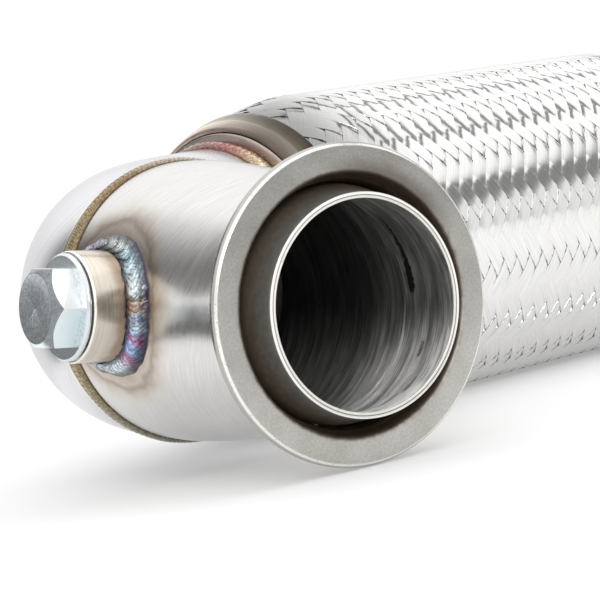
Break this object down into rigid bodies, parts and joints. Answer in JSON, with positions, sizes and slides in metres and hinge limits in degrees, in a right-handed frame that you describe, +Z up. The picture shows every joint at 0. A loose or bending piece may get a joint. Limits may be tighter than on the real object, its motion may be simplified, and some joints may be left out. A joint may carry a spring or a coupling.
{
  "type": "downpipe",
  "caption": "Exhaust downpipe: clamp flange with an inner sleeve, coned inlet with a plugged sensor boss, tight elbow, braided flexible section and a plain pipe end.",
  "frame": {"origin": "centre of the inlet flange's face, on the inlet's axis", "axes": "+X along the flexible section towards the plain outlet end; +Z up as the part lies at rest on its braid and on the rim of its flange; the inlet opens towards -Y"},
  "size_m": [0.3909, 0.1907, 0.102],
  "materials": {
    "brushed_pipe": "long brushed grain, soft highlights",
    "flange_steel": "matte warm grey face, bright rim",
    "sleeve_steel": "matte dark grey with a bright lip",
    "weld_bead": "rippled bead with straw and blue heat colours",
    "turned_steel": "turned, satin",
    "plug_steel": "plated, satin",
    "washer_metal": "dull",
    "cap_steel": "pressed, satin",
    "liner_steel": "rolled sheet",
    "braid_steel": "bright flat woven ribbon"
  },
  "bodies": {
    "inlet_side": {"inlet_sleeve": "sleeve_steel", "inlet_flange": "flange_steel", "inlet_flange_weld": "weld_bead", "inlet_reducer": "brushed_pipe", "sleeve_weld": "weld_bead", "elbow_seam_weld": "weld_bead", "elbow": "brushed_pipe", "sensor_bung": "turned_steel", "bung_weld": "weld_bead", "plug_washer": "washer_metal", "sensor_plug": "plug_steel", "elbow_flex_weld": "weld_bead", "flex_inlet_neck": "cap_steel", "flex_inlet_cap": "cap_steel", "flex_liner": "liner_steel", "flex_bellows": "liner_steel", "flex_braid": "braid_steel"},
    "outlet_side": {"flex_outlet_cap": "cap_steel", "flex_outlet_neck": "cap_steel", "flex_outlet_weld": "weld_bead", "outlet_pipe": "brushed_pipe"}
  },
  "joints": [
    {"name": "flex_bend", "type": "hinge", "parent": "inlet_side", "child": "outlet_side", "pos_m": [0.17658, 0.12839, 0.01063], "axis": [0, 0, 1], "range_deg": [-8, 8], "stiffness_Nm_per_rad": 90, "deforming": ["flex_braid", "flex_bellows", "flex_liner"]}
  ]
}
